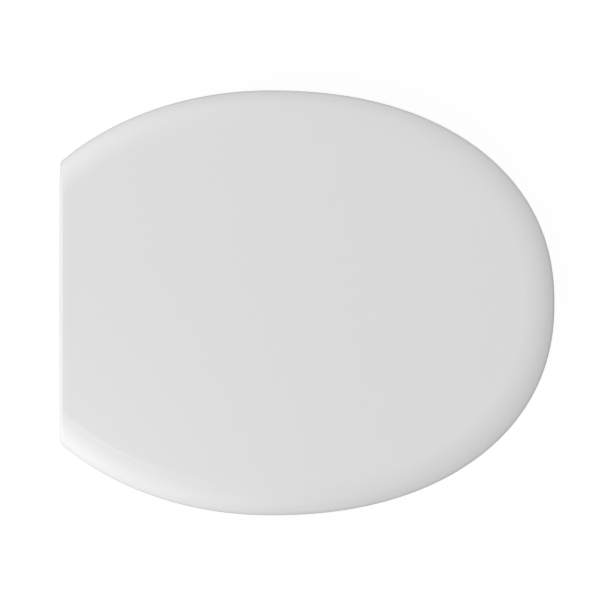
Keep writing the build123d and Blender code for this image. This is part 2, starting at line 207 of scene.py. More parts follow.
class SeatFixingSizes(PropertyGroup):
    """Sizes of the bolts, washers and nuts"""

    spacing: size("Bolt spacing", "Between the two bolts", 0.155)
    head: size("Bolt head", "Radius of the head in the post", 0.005)
    shank: size("Shank", "Radius of the plain shank", 0.004)
    shank_length: size("Shank length", "Plain length below the deck's top", 0.016)
    thread: size("Thread", "Radius over the thread", 0.0037)
    pitch: size("Pitch", "Rise of one turn of the thread", 0.00125)
    groove: size("Groove", "Depth of the thread", 0.00065)
    hole: size("Washer hole", "Radius of the washers' holes", 0.004)
    cone_tip: size("Cone tip", "Radius of the cones' upper end", 0.0065)
    cone_rim: size("Cone rim", "Height of the straight rim", 0.002)
    hub: size("Nut hub", "Radius of the nuts' upper end", 0.0085)
    taper: size("Nut taper", "Loss of radius to the lower end", 0.0015)
    hub_height: size("Hub height", "Height of the nuts' hubs", 0.010)
    wing: size("Wing", "Thickness of the wings", 0.003)
    wing_tip: size("Wing tip", "Radius of the wings' tips", 0.004)


class SeatFinishes(PropertyGroup):
    """Colours of the finishes"""

    white_resin: colour("Resin", "Lid and ring", (0.78, 0.78, 0.78))
    chromed_metal: colour("Chrome", "Hinge posts", (0.56, 0.565, 0.575))
    steel: colour("Steel", "Pins, clips, bolts and washers", (0.46, 0.46, 0.45))
    clear_rubber: colour("Pale rubber", "Bumpers and gaskets", (0.62, 0.64, 0.62))
    black_rubber: colour("Black rubber", "Cone washers", (0.025, 0.025, 0.027))
    white_nylon: colour("Nylon", "Bushes and wing nuts", (0.74, 0.74, 0.71))
    floor: colour("Floor", "Studio floor as it is seen", (0.40, 0.40, 0.40))
    floor_glow: colour("Floor glow", "Own light of the floor as it is seen", (0.74, 0.74, 0.74))
    floor_bounce: colour("Floor bounce", "Studio floor as it lights the seat", (0.08, 0.08, 0.08))


GROUPS = {
    "seat_lid": SeatLidSizes,
    "seat_ring": SeatRingSizes,
    "seat_bumper": SeatBumperSizes,
    "seat_hinge": SeatHingeSizes,
    "seat_fixing": SeatFixingSizes,
    "seat_finish": SeatFinishes,
}


# Materials


class Value:
    """A node's output socket. Arithmetic on it adds Math nodes."""

    def __init__(self, nodes, socket):
        self.nodes = nodes
        self.socket = socket

    def math(self, operation, first, second):
        node = self.nodes.node("Math", {"operation": operation}, {0: first, 1: second})
        return Value(self.nodes, node.outputs[0])

    def __add__(self, other):
        return self.math("ADD", self, other)

    def __radd__(self, other):
        return self.math("ADD", other, self)

    def __sub__(self, other):
        return self.math("SUBTRACT", self, other)

    def __rsub__(self, other):
        return self.math("SUBTRACT", other, self)

    def __mul__(self, other):
        return self.math("MULTIPLY", self, other)

    def __rmul__(self, other):
        return self.math("MULTIPLY", other, self)


class Nodes:
    """A node tree that nodes are added to."""

    def __init__(self, tree):
        self.tree = tree

    def fill(self, node, values):
        """Sets or links a node's inputs by name or number."""
        for key, value in values.items():
            if isinstance(value, Value):
                self.tree.links.new(value.socket, node.inputs[key])
            else:
                node.inputs[key].default_value = value

    def node(self, kind, settings, values):
        """Adds a node of a kind, with its settings and then its inputs."""
        node = self.tree.nodes.new("ShaderNode" + kind)
        for key, value in settings.items():
            setattr(node, key, value)
        self.fill(node, values)
        return node

    def output(self, name, kind, settings, values):
        """Adds a node and gives one of its outputs by name or number."""
        return Value(self, self.node(kind, settings, values).outputs[name])

    def rays(self):
        """Camera, glossy and transmission rays: one where the ray is of that kind, and otherwise zero."""
        path = self.node("LightPath", {}, {})
        names = ("Is Camera Ray", "Is Glossy Ray", "Is Transmission Ray")
        return [Value(self, path.outputs[name]) for name in names]


class Finish(Nodes):
    """A new node material with one Principled shader."""

    def __init__(self, name):
        self.material = bpy.data.materials.new(name)
        self.material.use_nodes = True
        super().__init__(self.material.node_tree)
        self.shader = self.tree.nodes["Principled BSDF"]

    def place(self, stretch=(1.0, 1.0, 1.0)):
        """Object coordinates, stretched along the axes."""
        values = {"Vector": self.output("Object", "TexCoord", {}, {}), "Scale": stretch}
        return self.output("Vector", "Mapping", {"vector_type": "POINT"}, values)

    def noise(self, where, per_metre, detail=2.0):
        """Cloud from 0 to 1 with so many features to the metre."""
        values = {"Vector": where, "Scale": per_metre, "Detail": detail, "Roughness": 0.5}
        return self.output("Fac", "TexNoise", {}, values)

    def blend(self, factor, first, second):
        """Colour between two colours."""
        return self.output(2, "Mix", {"data_type": "RGBA"}, {0: factor, 6: (*first, 1.0), 7: (*second, 1.0)})

    def bump(self, height, depth):
        """Normal tilted by a height from 0 to 1 that stands for a depth in metres."""
        return self.output("Normal", "Bump", {}, {"Strength": 1.0, "Distance": depth, "Height": height})

    def set(self, **values):
        """Sets or links the shader's inputs, underscores for spaces."""
        self.fill(self.shader, {key.replace("_", " "): value for key, value in values.items()})
        return self.material


def shade(base, share):
    """A colour lightened or darkened by a share."""
    return tuple(min(1.0, channel * share) for channel in base)


def resin_finish(finish, base):
    """Polished moulded resin: a faint cloud in its white, slight waviness and a hard gloss."""
    where = finish.place()
    cloud = finish.noise(where, per_metre=14.0, detail=3.0)
    waves = finish.noise(where, per_metre=420.0, detail=1.0)
    return finish.set(
        Base_Color=finish.blend(cloud, shade(base, 0.985), shade(base, 1.01)),
        Roughness=0.17 + 0.07 * finish.noise(where, per_metre=60.0),
        Normal=finish.bump(waves, depth=0.000002),
        IOR=1.35,
    )


def chrome_finish(finish, base):
    """Bright plating over polished metal, with faint polishing lines and a slight haze."""
    lines = finish.noise(finish.place((120.0, 120.0, 2200.0)), per_metre=1.0, detail=3.0)
    haze = finish.noise(finish.place(), per_metre=90.0)
    return finish.set(
        Base_Color=finish.blend(haze, shade(base, 0.96), shade(base, 1.03)),
        Metallic=1.0,
        Roughness=0.06 + 0.06 * haze,
        Normal=finish.bump(lines, depth=0.0000015),
    )


def steel_finish(finish, base):
    """Plated steel, drawn lengthwise and slightly dulled."""
    drawn = finish.noise(finish.place((2600.0, 140.0, 900.0)), per_metre=1.0, detail=4.0)
    dull = finish.noise(finish.place(), per_metre=240.0, detail=3.0)
    return finish.set(
        Base_Color=finish.blend(dull, shade(base, 0.86), shade(base, 1.08)),
        Metallic=1.0,
        Roughness=0.24 + 0.18 * dull,
        Normal=finish.bump(drawn, depth=0.000004),
    )


def rubber_finish(finish, base, gloss):
    """Soft moulded rubber with a fine grain and dusty patches."""
    where = finish.place()
    grain = finish.noise(where, per_metre=3200.0)
    dust = finish.noise(where, per_metre=180.0, detail=4.0)
    return finish.set(
        Base_Color=finish.blend(dust, shade(base, 0.9), shade(base, 1.12)),
        Roughness=gloss + 0.16 * dust,
        Normal=finish.bump(grain, depth=0.00001),
    )


def nylon_finish(finish, base):
    """Moulded nylon, satin with a fine spark-eroded grain."""
    where = finish.place()
    grain = finish.noise(where, per_metre=2400.0, detail=3.0)
    cloud = finish.noise(where, per_metre=120.0)
    return finish.set(
        Base_Color=finish.blend(cloud, shade(base, 0.95), shade(base, 1.02)),
        Roughness=0.36 + 0.12 * grain,
        Normal=finish.bump(grain, depth=0.000008),
    )


FINISHES = {
    "white_resin": resin_finish,
    "chromed_metal": chrome_finish,
    "steel": steel_finish,
    "clear_rubber": lambda finish, base: rubber_finish(finish, base, gloss=0.32),
    "black_rubber": lambda finish, base: rubber_finish(finish, base, gloss=0.48),
    "white_nylon": nylon_finish,
}


def material(slot):
    """The material of a slot, made at its first use from the colour of the same name."""
    ready = bpy.data.materials.get(slot)
    return ready or FINISHES[slot](Finish(slot), tuple(getattr(bpy.context.scene.seat_finish, slot)))


# Surfaces

WELD = 0.000002
SLIVER = 0.000001
CREASE = np.radians(35.0)
CIRCLE_POINTS = 64
BORED_POINTS = 72
ARC_STEPS = 6
SLAB_ROUND_STEPS = 5
COSINE_LIMIT = 0.9999
TINY = 1e-12


def unit(vectors):
    """Vectors made one long."""
    return vectors / np.linalg.norm(vectors, axis=-1, keepdims=True)


def with_level(flat, level):
    """Points seen from above, or in any flat drawing, with a level as their third number."""
    return np.concatenate([flat, np.broadcast_to(level, flat.shape[:-1])[..., None]], axis=-1)


def grid_faces(rows, columns, wrap_rows, wrap_columns):
    """Quads between neighbouring points of a grid, closed in either direction if it wraps."""
    index = np.arange(rows * columns).reshape(rows, columns)
    if wrap_rows:
        index = np.vstack([index, index[:1]])
    if wrap_columns:
        index = np.hstack([index, index[:, :1]])
    corners = [index[:-1, :-1], index[:-1, 1:], index[1:, 1:], index[1:, :-1]]
    return np.stack(corners, axis=-1).reshape(-1, 4)


def loft(loops, ring=False):
    """Closed loops stacked in order, joined by quads; a ring also joins the last loop to the first."""
    rows, columns = loops.shape[:2]
    return loops.reshape(-1, 3), grid_faces(rows, columns, ring, True)


def build(name, node, slot, shells):
    """Makes one piece from its shells, welds it, turns its faces outwards and puts it in a node's place."""
    points = np.concatenate([shell[0] for shell in shells])
    starts = np.cumsum([0] + [len(shell[0]) for shell in shells[:-1]])
    faces = np.concatenate([shell[1] + start for shell, start in zip(shells, starts)])
    mesh = bpy.data.meshes.new(name)
    mesh.from_pydata(points.tolist(), [], faces.tolist())
    work = bmesh.new()
    work.from_mesh(mesh)
    bmesh.ops.remove_doubles(work, verts=work.verts, dist=WELD)
    bmesh.ops.dissolve_degenerate(work, edges=work.edges, dist=SLIVER)
    bmesh.ops.recalc_face_normals(work, faces=work.faces)
    work.to_mesh(mesh)
    work.free()
    mesh.shade_smooth()
    mesh.set_sharp_from_angle(angle=CREASE)
    mesh.materials.append(material(slot))
    piece = bpy.data.objects.new(name, mesh)
    bpy.context.scene.collection.objects.link(piece)
    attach(piece, frame["nodes"][node]["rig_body"])
    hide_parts(node)


def rounded(corners, steps):
    """Closed path through corners, each two coordinates and a radius: at each corner an arc of that radius,
    its centre on the bisector and tangent to both sides."""
    corners = np.asarray(corners, float)
    points, radii = corners[:, :2], corners[:, 2:]
    back = unit(np.roll(points, 1, axis=0) - points)
    ahead = unit(np.roll(points, -1, axis=0) - points)
    cosine = (back * ahead).sum(axis=1, keepdims=True)
    half = np.arccos(np.clip(cosine, -COSINE_LIMIT, COSINE_LIMIT)) / 2
    bisector = back + ahead
    bisector /= np.linalg.norm(bisector, axis=1, keepdims=True) + TINY
    centre = points + bisector * radii / np.sin(half)
    start = points + back * radii / np.tan(half) - centre
    side = np.sign(back[:, :1] * ahead[:, 1:] - back[:, 1:] * ahead[:, :1])
    turn = -side * (np.pi - 2 * half) * np.linspace(0, 1, steps)
    x = start[:, :1] * np.cos(turn) - start[:, 1:] * np.sin(turn)
    y = start[:, :1] * np.sin(turn) + start[:, 1:] * np.cos(turn)
    return np.stack([centre[:, :1] + x, centre[:, 1:] + y], axis=-1).reshape(-1, 2)


def turned(corners, count=CIRCLE_POINTS, steps=ARC_STEPS):
    """Profile of corners, each a radius, a height and an edge radius, carried round the Z axis."""
    profile = rounded(corners, steps)
    turn = np.linspace(0, FULL_TURN, count, endpoint=False)
    radius, height = profile[:, :1], profile[:, 1:]
    return np.stack([radius * np.cos(turn), radius * np.sin(turn), height + 0 * turn], axis=-1)


def bored_disc(inner, outer, low, high, edges):
    """Disc with a hole about Z between two heights. Its edge radii start at the hole's lower edge."""
    corners = [(inner, low), (outer, low), (outer, high), (inner, high)]
    return turned([(*corner, edge) for corner, edge in zip(corners, edges)], BORED_POINTS)


def along_hinge(loops):
    """Loops turned about Z, laid on the hinge axis with their height along Y."""
    return np.stack([HINGE_X + loops[..., 0], loops[..., 2], HINGE_Z - loops[..., 1]], axis=-1)


def hull(centres, radii, inset):
    """Outline round circles: for each direction the farthest circle's point, moved inwards by an inset."""
    turn = np.linspace(0, FULL_TURN, BORED_POINTS, endpoint=False)
    out = np.stack([np.cos(turn), np.sin(turn)], axis=-1)
    centres = np.asarray(centres, float)
    radii = np.asarray(radii, float)
    chosen = np.argmax(out @ centres.T + radii, axis=1)
    kept = np.maximum(radii[chosen] - inset, 0.0)
    return centres[chosen] + kept[..., None] * out


def quarter_round(radius, steps):
    """Quarter circle between two sides as a column: its rise from one side and what is left to the other."""
    turn = np.linspace(0, QUARTER_TURN, steps)[:, None]
    return radius * (1 - np.cos(turn)), radius * (1 - np.sin(turn))


def edge_rows(low, high, low_round, high_round):
    """Insets and levels of a slab's side as columns, with a quarter circle at each edge."""
    low_rise, low_inset = quarter_round(low_round, SLAB_ROUND_STEPS)
    high_inset, high_drop = quarter_round(high_round, SLAB_ROUND_STEPS)
    return np.concatenate([low_inset, high_inset]), np.concatenate([low + low_rise, high - high_drop])


def slab(centres, radii, low, high, low_round, high_round):
    """Outline round circles carried straight from low to high, with rounded edges and both ends closed to
    the middle: the drawing's two coordinates, then the level."""
    insets, levels = edge_rows(low, high, low_round, high_round)
    flat = hull(centres, radii, insets)
    middle = np.broadcast_to(np.mean(centres, axis=0), flat[:1].shape)
    levels = np.concatenate([levels[:1], levels, levels[-1:]])
    return with_level(np.concatenate([middle, flat, middle]), levels)


def upright(loops):
    """Loops of a slab drawn in X and Z, its thickness along Y."""
    return loops[..., [0, 2, 1]]


def side_of(loops, side):
    """Loops on the left, or their mirror image on the right."""
    return loops * np.array([1.0, side, 1.0])


def drilled_lug(centres, radii, bore, low, high, edge):
    """Outline round circles carried along Y between two levels, with a bore on the hinge axis."""
    insets, levels = edge_rows(low, high, edge, edge)
    outer = hull(centres, radii, insets)
    hole = np.broadcast_to(hull([(HINGE_X, HINGE_Z)], [bore], 0.0), (2, *outer.shape[1:]))
    levels = np.concatenate([levels, [[high], [low]]])
    return upright(with_level(np.concatenate([outer, hole]), levels))


# Lid

FRONT_STEPS = 60
REAR_STEPS = 30
RIM_ROWS = 4
EDGE_ROWS = 9
ROWS_TO_NOTCH = 12
ROWS_PAST_NOTCH = 7
CROWN_ROWS = 11
MIDDLE_ROWS = 10
NOTCH_ROW = RIM_ROWS + EDGE_ROWS + ROWS_TO_NOTCH - 1
NOTCH_GAP = 0.00015
RIM_FADE_COLUMNS = 3
BEND_STEPS = 7
WALL_STEPS = 8
SEARCH_STEPS = 8
FINE_STEPS = 200
SPINE_SHARE = 0.62
FOOT_DRAW = 0.0006
RIM_DRAW_SHARE = 0.6
BOSS_SINK = 0.6


def plan_half(lid, inset, rear_x):
    """Half outline from the front to the rear cut: a superellipse by polar angle, then an ellipse by its own
    angle."""
    inset = np.broadcast_to(inset, (*np.shape(inset)[:-1], FRONT_STEPS + REAR_STEPS))
    ahead, behind = inset[..., :FRONT_STEPS], inset[..., FRONT_STEPS:]
    widest_x = LID_LOW[0] + lid.widest
    turn = np.linspace(0, QUARTER_TURN, FRONT_STEPS, endpoint=False)
    along = np.cos(turn) / (lid.length - lid.widest - ahead)
    across = np.sin(turn) / (lid.width / 2 - ahead)
    reach = (along**lid.fullness + across**lid.fullness) ** (-1 / lid.fullness)
    rear_axis = lid.widest / np.sqrt(1 - (lid.rear_width / lid.width) ** 2) - behind
    turn_back = np.arcsin((widest_x - rear_x) / rear_axis) * np.linspace(0, 1, REAR_STEPS)
    x = [widest_x + reach * np.cos(turn), widest_x - rear_axis * np.sin(turn_back)]
    y = [reach * np.sin(turn), (lid.width / 2 - behind) * np.cos(turn_back)]
    return np.concatenate(x, axis=-1), np.concatenate(y, axis=-1)


def crown_ball(lid):
    """Radius of the ball whose cap is the crown, and its middle along the seat."""
    half = lid.length / 2
    return (half**2 + lid.crown**2) / (2 * lid.crown), LID_LOW[0] + half


def crown_height(lid, inset, x, y):
    """Height of the crown's ball above a point, lowered by an inset."""
    radius, middle = crown_ball(lid)
    return lid.top - inset - radius + np.sqrt(radius**2 - (x - middle) ** 2 - y**2)


def shoulder_top(lid, inset, rear_x):
    """Inset of the line where the shoulder's round meets the crown, and the crown's tilt there, for each
    column. The round touches the slope and the ball, so it is moved along the slope until its upper end lies
    on the ball."""
    shoulder = lid.shoulder_round - inset
    slope_foot = lid.rim + lid.land + (lid.edge_round - inset) * np.tan((QUARTER_TURN - lid.slope) / 2)
    radius, middle = crown_ball(lid)
    x, y = plan_half(lid, np.array([inset + shoulder * np.sin(lid.slope)]), rear_x)
    out = np.stack([np.gradient(y), -np.gradient(x)])
    # The first column, on the middle line, faces straight ahead.
    out[:, 0] = 1.0, 0.0
    out /= np.linalg.norm(out, axis=0)
    tilt = np.arcsin(((x - middle) * out[0] + y * out[1]) / radius)
    reach = np.full_like(tilt, inset)
    for _ in range(SEARCH_STEPS):
        x, y = plan_half(lid, reach, rear_x)
        rise = crown_height(lid, inset, x, y) - slope_foot + shoulder * (np.cos(lid.slope) - np.cos(tilt))
        reach = inset + rise / np.tan(lid.slope) + shoulder * (np.sin(lid.slope) - np.sin(tilt))
    return reach, tilt


def lid_skin(lid, inset, rear_x, rim_side):
    """Left half of one skin as far as the rear cut, and how far each row's foot is drawn in on the rear
    wall. Rows climb from the rim up the edge, its round, the slope, the shoulder's round and the crown to
    the middle line, with a pair of rows at each side of the notch. Columns run from the front round to the
    rear."""
    edge_round, shoulder = lid.edge_round - inset, lid.shoulder_round - inset
    reach, tilt = shoulder_top(lid, inset, rear_x)
    x, y = plan_half(lid, reach, rear_x)
    roof = crown_height(lid, inset, x, y)

    turn = np.linspace(-QUARTER_TURN, 0, RIM_ROWS)[:, None]
    rim_fade = np.clip(np.arange(len(x))[::-1] / RIM_FADE_COLUMNS, 0, 1)
    rim_inset = inset + rim_side * lid.rim_round * rim_fade * (1 - np.cos(turn))
    rim_level = lid.rim + lid.rim_round * (1 + np.sin(turn)) + 0 * x
    edge_turn = np.linspace(0, QUARTER_TURN - lid.slope, EDGE_ROWS)[:, None]
    edge_inset = inset + edge_round * (1 - np.cos(edge_turn)) + 0 * x
    edge_level = lid.rim + lid.land + edge_round * np.sin(edge_turn) + 0 * x

    def shoulder_inset(share):
        pitch = lid.slope + share[:, None] * (tilt - lid.slope)
        return reach + shoulder * (np.sin(tilt) - np.sin(pitch))

    outer_high, outer_low = lid.notch_outer + NOTCH_GAP, lid.notch_outer - NOTCH_GAP
    inner_high, inner_low = lid.notch_inner + NOTCH_GAP, lid.notch_inner - NOTCH_GAP
    if y[-1] < outer_low:
        # The notch's outer side meets the shoulder: two of the shoulder's rows end at it.
        fine = np.linspace(0, 1, FINE_STEPS)
        at_wall = plan_half(lid, shoulder_inset(fine), rear_x)[1][:, -1]
        marks = np.interp([-outer_high, -outer_low], -at_wall, fine)
        below, above = np.linspace(0, marks[0], ROWS_TO_NOTCH), np.linspace(marks[1], 1, ROWS_PAST_NOTCH)
        share = np.concatenate([below, above])
        at_rear = np.linspace(y[-1], inner_high, CROWN_ROWS + 1)[1:]
    else:
        # The notch's outer side meets the crown: two of the crown's rows end at it.
        share = np.linspace(0, 1, ROWS_TO_NOTCH - 1)
        over_notch = np.linspace(outer_low, inner_high, ROWS_PAST_NOTCH + CROWN_ROWS)
        at_rear = np.concatenate([[outer_high], over_notch])
    at_rear = np.concatenate([at_rear, np.linspace(inner_low, 0, MIDDLE_ROWS)])

    pitch = lid.slope + share[:, None] * (tilt - lid.slope)
    insets = np.concatenate([rim_inset, edge_inset, shoulder_inset(share)])
    levels = np.concatenate([rim_level, edge_level, roof + shoulder * (np.cos(pitch) - np.cos(tilt))])
    wall_x, wall_y = plan_half(lid, insets, rear_x)

    inward = (1 - at_rear / y[-1])[:, None]
    spine = LID_LOW[0] + inset + SPINE_SHARE * (x - LID_LOW[0] - inset)
    top_x, top_y = (1 - inward) * x + inward * spine, (1 - inward) * y
    skin = np.stack([
        np.concatenate([wall_x, top_x]),
        np.concatenate([wall_y, top_y]),
        np.concatenate([levels, crown_height(lid, inset, top_x, top_y)]),
    ], axis=-1)
    rim_draw = np.linspace(0, RIM_DRAW_SHARE, RIM_ROWS)
    draw = np.concatenate([rim_draw, np.cos(edge_turn[:, 0]), np.sin(pitch[:, -1]), 0 * at_rear])
    return skin, FOOT_DRAW * draw


def rear_bend(skin, rear_round):
    """Round over the rear edge: in each row an arc that leaves along the skin's slope and ends upright."""
    end, before = skin[:, -1], skin[:, -2]
    climb = unit(np.gradient(end[:, 1:], axis=0))
    outward = np.stack([climb[:, 1], -climb[:, 0]], axis=-1)
    # The rim's rows face sideways, and the row on the middle line faces up.
    outward[: RIM_ROWS + 1] = 1.0, 0.0
    outward[-1] = 0.0, 1.0
    away = before - end
    lean = np.arctan2((away[:, 1:] * outward).sum(axis=1), away[:, 0])[:, None]
    drop = rear_round * (1 - np.sin(lean)) / np.cos(lean)
    turn = QUARTER_TURN + lean + (QUARTER_TURN - lean) * np.linspace(0, 1, BEND_STEPS)
    forward = rear_round * (1 + np.cos(turn))
    outside = rear_round * np.sin(turn) - drop
    x = end[:, None, :1] + forward[..., None]
    return np.concatenate([x, end[:, None, 1:] + outside[..., None] * outward[:, None]], axis=-1)


def rear_wall(lid, start, draw):
    """Straight fall from the rear edge to the rim, or to the notch's top between the notch's sides."""
    foot_y = start[:, 1] - draw
    foot_y[NOTCH_ROW : NOTCH_ROW + 2] = lid.notch_outer + NOTCH_GAP, lid.notch_outer - NOTCH_GAP
    inside = (foot_y < lid.notch_outer) & (foot_y > lid.notch_inner)
    foot = np.stack([start[:, 0], foot_y, np.where(inside, lid.notch_top, lid.rim)], axis=-1)
    return start[:, None] + (foot - start)[:, None] * np.linspace(0, 1, WALL_STEPS)[1:, None]


def lid_halves(lid, inset, rear_round, rim_side):
    """One whole skin of the lid: the left half with its rear edge and rear wall, and its mirror image, which
    shares the front column."""
    skin, draw = lid_skin(lid, inset, LID_LOW[0] + inset, rim_side)
    bend = rear_bend(skin, rear_round)
    half = np.concatenate([skin[:, :-2], bend, rear_wall(lid, bend[:, -1], draw)], axis=1)
    return np.concatenate([side_of(half, -1.0)[:, :0:-1], half], axis=1)


def open_edge(grid):
    """Rim of a lid skin: down the first column, along the first row and up the last column."""
    return np.concatenate([grid[::-1, 0], grid[0, 1:-1], grid[:, -1]])


def lid_shell(lid):
    """Outer skin, inner skin and the strip that joins their rims."""
    outer = lid_halves(lid, 0.0, lid.rear_round, 1.0)
    inner = lid_halves(lid, lid.wall, lid.inner_round, -1.0)
    strip = np.stack([open_edge(outer), open_edge(inner)])
    points = np.concatenate([grid.reshape(-1, 3) for grid in (outer, inner, strip)])
    faces = grid_faces(*outer.shape[:2], False, False)
    strip_faces = grid_faces(*strip.shape[:2], False, True)
    count = outer.shape[0] * outer.shape[1]
    return points, np.concatenate([faces, faces + count, strip_faces + 2 * count])


def button_place():
    """Middle of the left button seen from above, and the height of its seat."""
    low, high = box("lid_bumper_left")
    return (low + high)[:2] / 2, low[2] + bpy.context.scene.seat_bumper.button_height


class SEAT_OT_lid(Operator):
    """Builds the lid: crowned shell, hinge lugs and button bosses"""

    bl_idname = "seat.lid"
    bl_label = "Lid"

    def execute(self, context):
        lid, hinge = context.scene.seat_lid, context.scene.seat_hinge
        lug, boss = self.lug(lid, hinge), self.boss(lid)
        shells = [lid_shell(lid)]
        for side in SIDES.values():
            shells += [loft(side_of(lug, side), ring=True), loft(side_of(boss, side))]
        build("lid_shell", "lid", "white_resin", shells)
        return {"FINISHED"}

    def lug(self, lid, hinge):
        """Drilled plate from the hinge up to its root under the shell."""
        inset, length, rear_sink, front_sink, edge = 0.0045, 0.022, 0.0053, 0.0045, 0.0006
        rear, shoulder, root = LID_LOW[0] + inset, lid.top - lid.crown, lid.rim_round
        root_ends = [(rear, shoulder - rear_sink), (rear + length, shoulder - front_sink)]
        centres, radii, high = [(HINGE_X, HINGE_Z), *root_ends], [hinge.lug, root, root], LID_BUSH_HIGH[1]
        return drilled_lug(centres, radii, hinge.bush, high - hinge.lug_width, high, edge)

    def boss(self, lid):
        """Round boss from the button's seat up into the shell."""
        place, seat = button_place()
        radius, edge, roof = lid.boss_radius, 0.0006, crown_height(lid, BOSS_SINK * lid.wall, *place)
        boss = turned([(0, seat, 0), (radius, seat, edge), (radius, roof, 0), (0, roof, 0)])
        return boss + np.array([*place, 0.0])


# Ring

CORNER_STEPS = 12
LINE_STEPS = 42
FOOT_STEPS = 6
OUTER_STEPS = 12
INNER_STEPS = 10
TOP_STEPS = 14
HOLLOW_STEPS = 5
HOLLOW_LEAST = 0.012
HOLLOW_BLEND = 0.006
HOLLOW_ROUND = 0.003


def ring_base(lid, ring):
    """Closed path one corner radius inside the ring's edge, with its outward directions. The path is the
    lid's outline moved inwards and cut straight at the rear. At both corners the direction turns on the
    spot."""
    x, y = plan_half(lid, np.array([ring.inset + ring.corner]), ring.rear + ring.corner)
    half, mirrored = np.stack([x, y], axis=-1), np.array([1.0, -1.0])
    side = np.concatenate([(half * mirrored)[:0:-1], half])
    heading = np.gradient(side, axis=0)
    side_out = unit(np.stack([heading[:, 1], -heading[:, 0]], axis=-1))
    last = np.arctan2(side_out[-1, 1], side_out[-1, 0])
    turn = np.linspace(last, np.pi, CORNER_STEPS)[1:]
    corner_out = np.stack([np.cos(turn), np.sin(turn)], axis=-1)
    corner = np.broadcast_to(side[-1], corner_out.shape)
    line = np.linspace(side[-1], side[0], LINE_STEPS)[1:-1]
    line_out = np.broadcast_to((-1.0, 0.0), line.shape)
    path = np.concatenate([side, corner, line, (corner * mirrored)[::-1]])
    out = np.concatenate([side_out, corner_out, line_out, (corner_out * mirrored)[::-1]])
    return path, out


def ring_centre(lid):
    """Middle of the lid's widest line, where the opening's two half ellipses meet."""
    return np.array([LID_LOW[0] + lid.widest, 0.0])


def opening_path(lid, ring, edge):
    """Point of the egg-shaped opening on the ray from the ring's centre to each point of its edge, with its
    outward direction. The egg is two half ellipses."""
    centre = ring_centre(lid)
    ray = unit(edge - centre)
    half_width = lid.width / 2 - ring.inset - ring.width
    front_axis = LID_HIGH[0] - ring.inset - ring.width - centre[0]
    rear_axis = centre[0] - ring.opening_rear
    axis = np.where(ray[:, 0] > 0, front_axis, rear_axis)
    reach = 1 / np.sqrt((ray[:, 0] / axis) ** 2 + (ray[:, 1] / half_width) ** 2)
    point = centre + reach[:, None] * ray
    out = unit(np.stack([(point[:, 0] - centre[0]) / axis**2, point[:, 1] / half_width**2], axis=-1))
    return point, out


def dish_ball(ring):
    """Middle of the ring, half its length, and the radius of the ball that hollows its top."""
    front = LID_HIGH[0] - ring.inset
    middle = (front + ring.rear) / 2
    outer, inner = front - middle, front - ring.width - middle
    return middle, outer, (outer**2 - inner**2) / (2 * ring.dish)


def dish_height(ring, points):
    """Height of the ring's dished top above points."""
    middle, outer, radius = dish_ball(ring)
    away = (points[..., 0] - middle) ** 2 + points[..., 1] ** 2
    return ring.bottom + ring.depth + np.sqrt(radius**2 - outer**2) - np.sqrt(radius**2 - away)


def dish_climb(ring, points, direction):
    """Angle at which the dished top climbs along a direction."""
    middle, _, radius = dish_ball(ring)
    away = points - np.array([middle, 0.0])
    return np.arcsin((away * direction).sum(axis=-1) / radius)


def ring_side(ring, line, into, edge_round, steps):
    """One side of the ring's section from its rounded foot up to the dished top, on a line seen from above
    and the direction into the ring. The upper round touches the upright side and the dish."""
    foot_rise, foot_inset = quarter_round(ring.foot_round, FOOT_STEPS)
    foot = with_level(line + foot_inset[..., None] * into, ring.bottom + foot_rise)
    climb = dish_climb(ring, line + edge_round * into, into)
    touch = edge_round * (1 - np.sin(climb))
    level = dish_height(ring, line + touch[:, None] * into) - edge_round * np.cos(climb)
    turn = np.linspace(0, 1, steps)[:, None] * (QUARTER_TURN - climb)
    inset = edge_round * (1 - np.cos(turn))
    top = with_level(line + inset[..., None] * into, level + edge_round * np.sin(turn))
    return np.concatenate([foot, top])


def ring_hollow(lid, ring, edge, out, hole, hole_out):
    """Hollow under the ring on rays from its centre: the inner wall's foot, the ceiling under the dish with
    a rounded corner at both sides, and the outer wall's foot. The outer wall follows the opening, or the
    ring's edge where that is nearer, with a soft minimum of the two."""
    centre = ring_centre(lid)
    ray = unit(edge - centre)
    near = np.linalg.norm(hole + ring.wall * hole_out - centre, axis=1)
    wide = np.linalg.norm(hole + (ring.wall + ring.channel) * hole_out - centre, axis=1)
    limit = np.linalg.norm(edge - centre, axis=1) - ring.wall / (ray * out).sum(axis=1)
    far = -HOLLOW_BLEND * np.log(np.exp(-wide / HOLLOW_BLEND) + np.exp(-limit / HOLLOW_BLEND))
    far = np.maximum(far, near + HOLLOW_LEAST)
    rise, fall = quarter_round(HOLLOW_ROUND, HOLLOW_STEPS)
    ceiling = centre + np.concatenate([near + rise, far - fall])[..., None] * ray
    level = dish_height(ring, ceiling) - ring.skin - np.concatenate([fall, rise])
    feet = with_level(centre + np.stack([near, far])[..., None] * ray, ring.bottom)
    return np.concatenate([feet[:1], with_level(ceiling, level), feet[1:]])


def ring_shell(lid, ring):
    """Section carried round the ring: outer side, dished top, side of the opening and hollow."""
    path, out = ring_base(lid, ring)
    edge = path + ring.corner * out
    hole, hole_out = opening_path(lid, ring, edge)
    outer = ring_side(ring, edge, -out, ring.outer_round, OUTER_STEPS)
    inner = ring_side(ring, hole, hole_out, ring.inner_round, INNER_STEPS)[::-1]
    share = np.linspace(0, 1, TOP_STEPS)[1:-1, None, None]
    top = (1 - share) * outer[-1, :, :2] + share * inner[0, :, :2]
    top = with_level(top, dish_height(ring, top))
    return np.concatenate([outer, top, inner, ring_hollow(lid, ring, edge, out, hole, hole_out)])


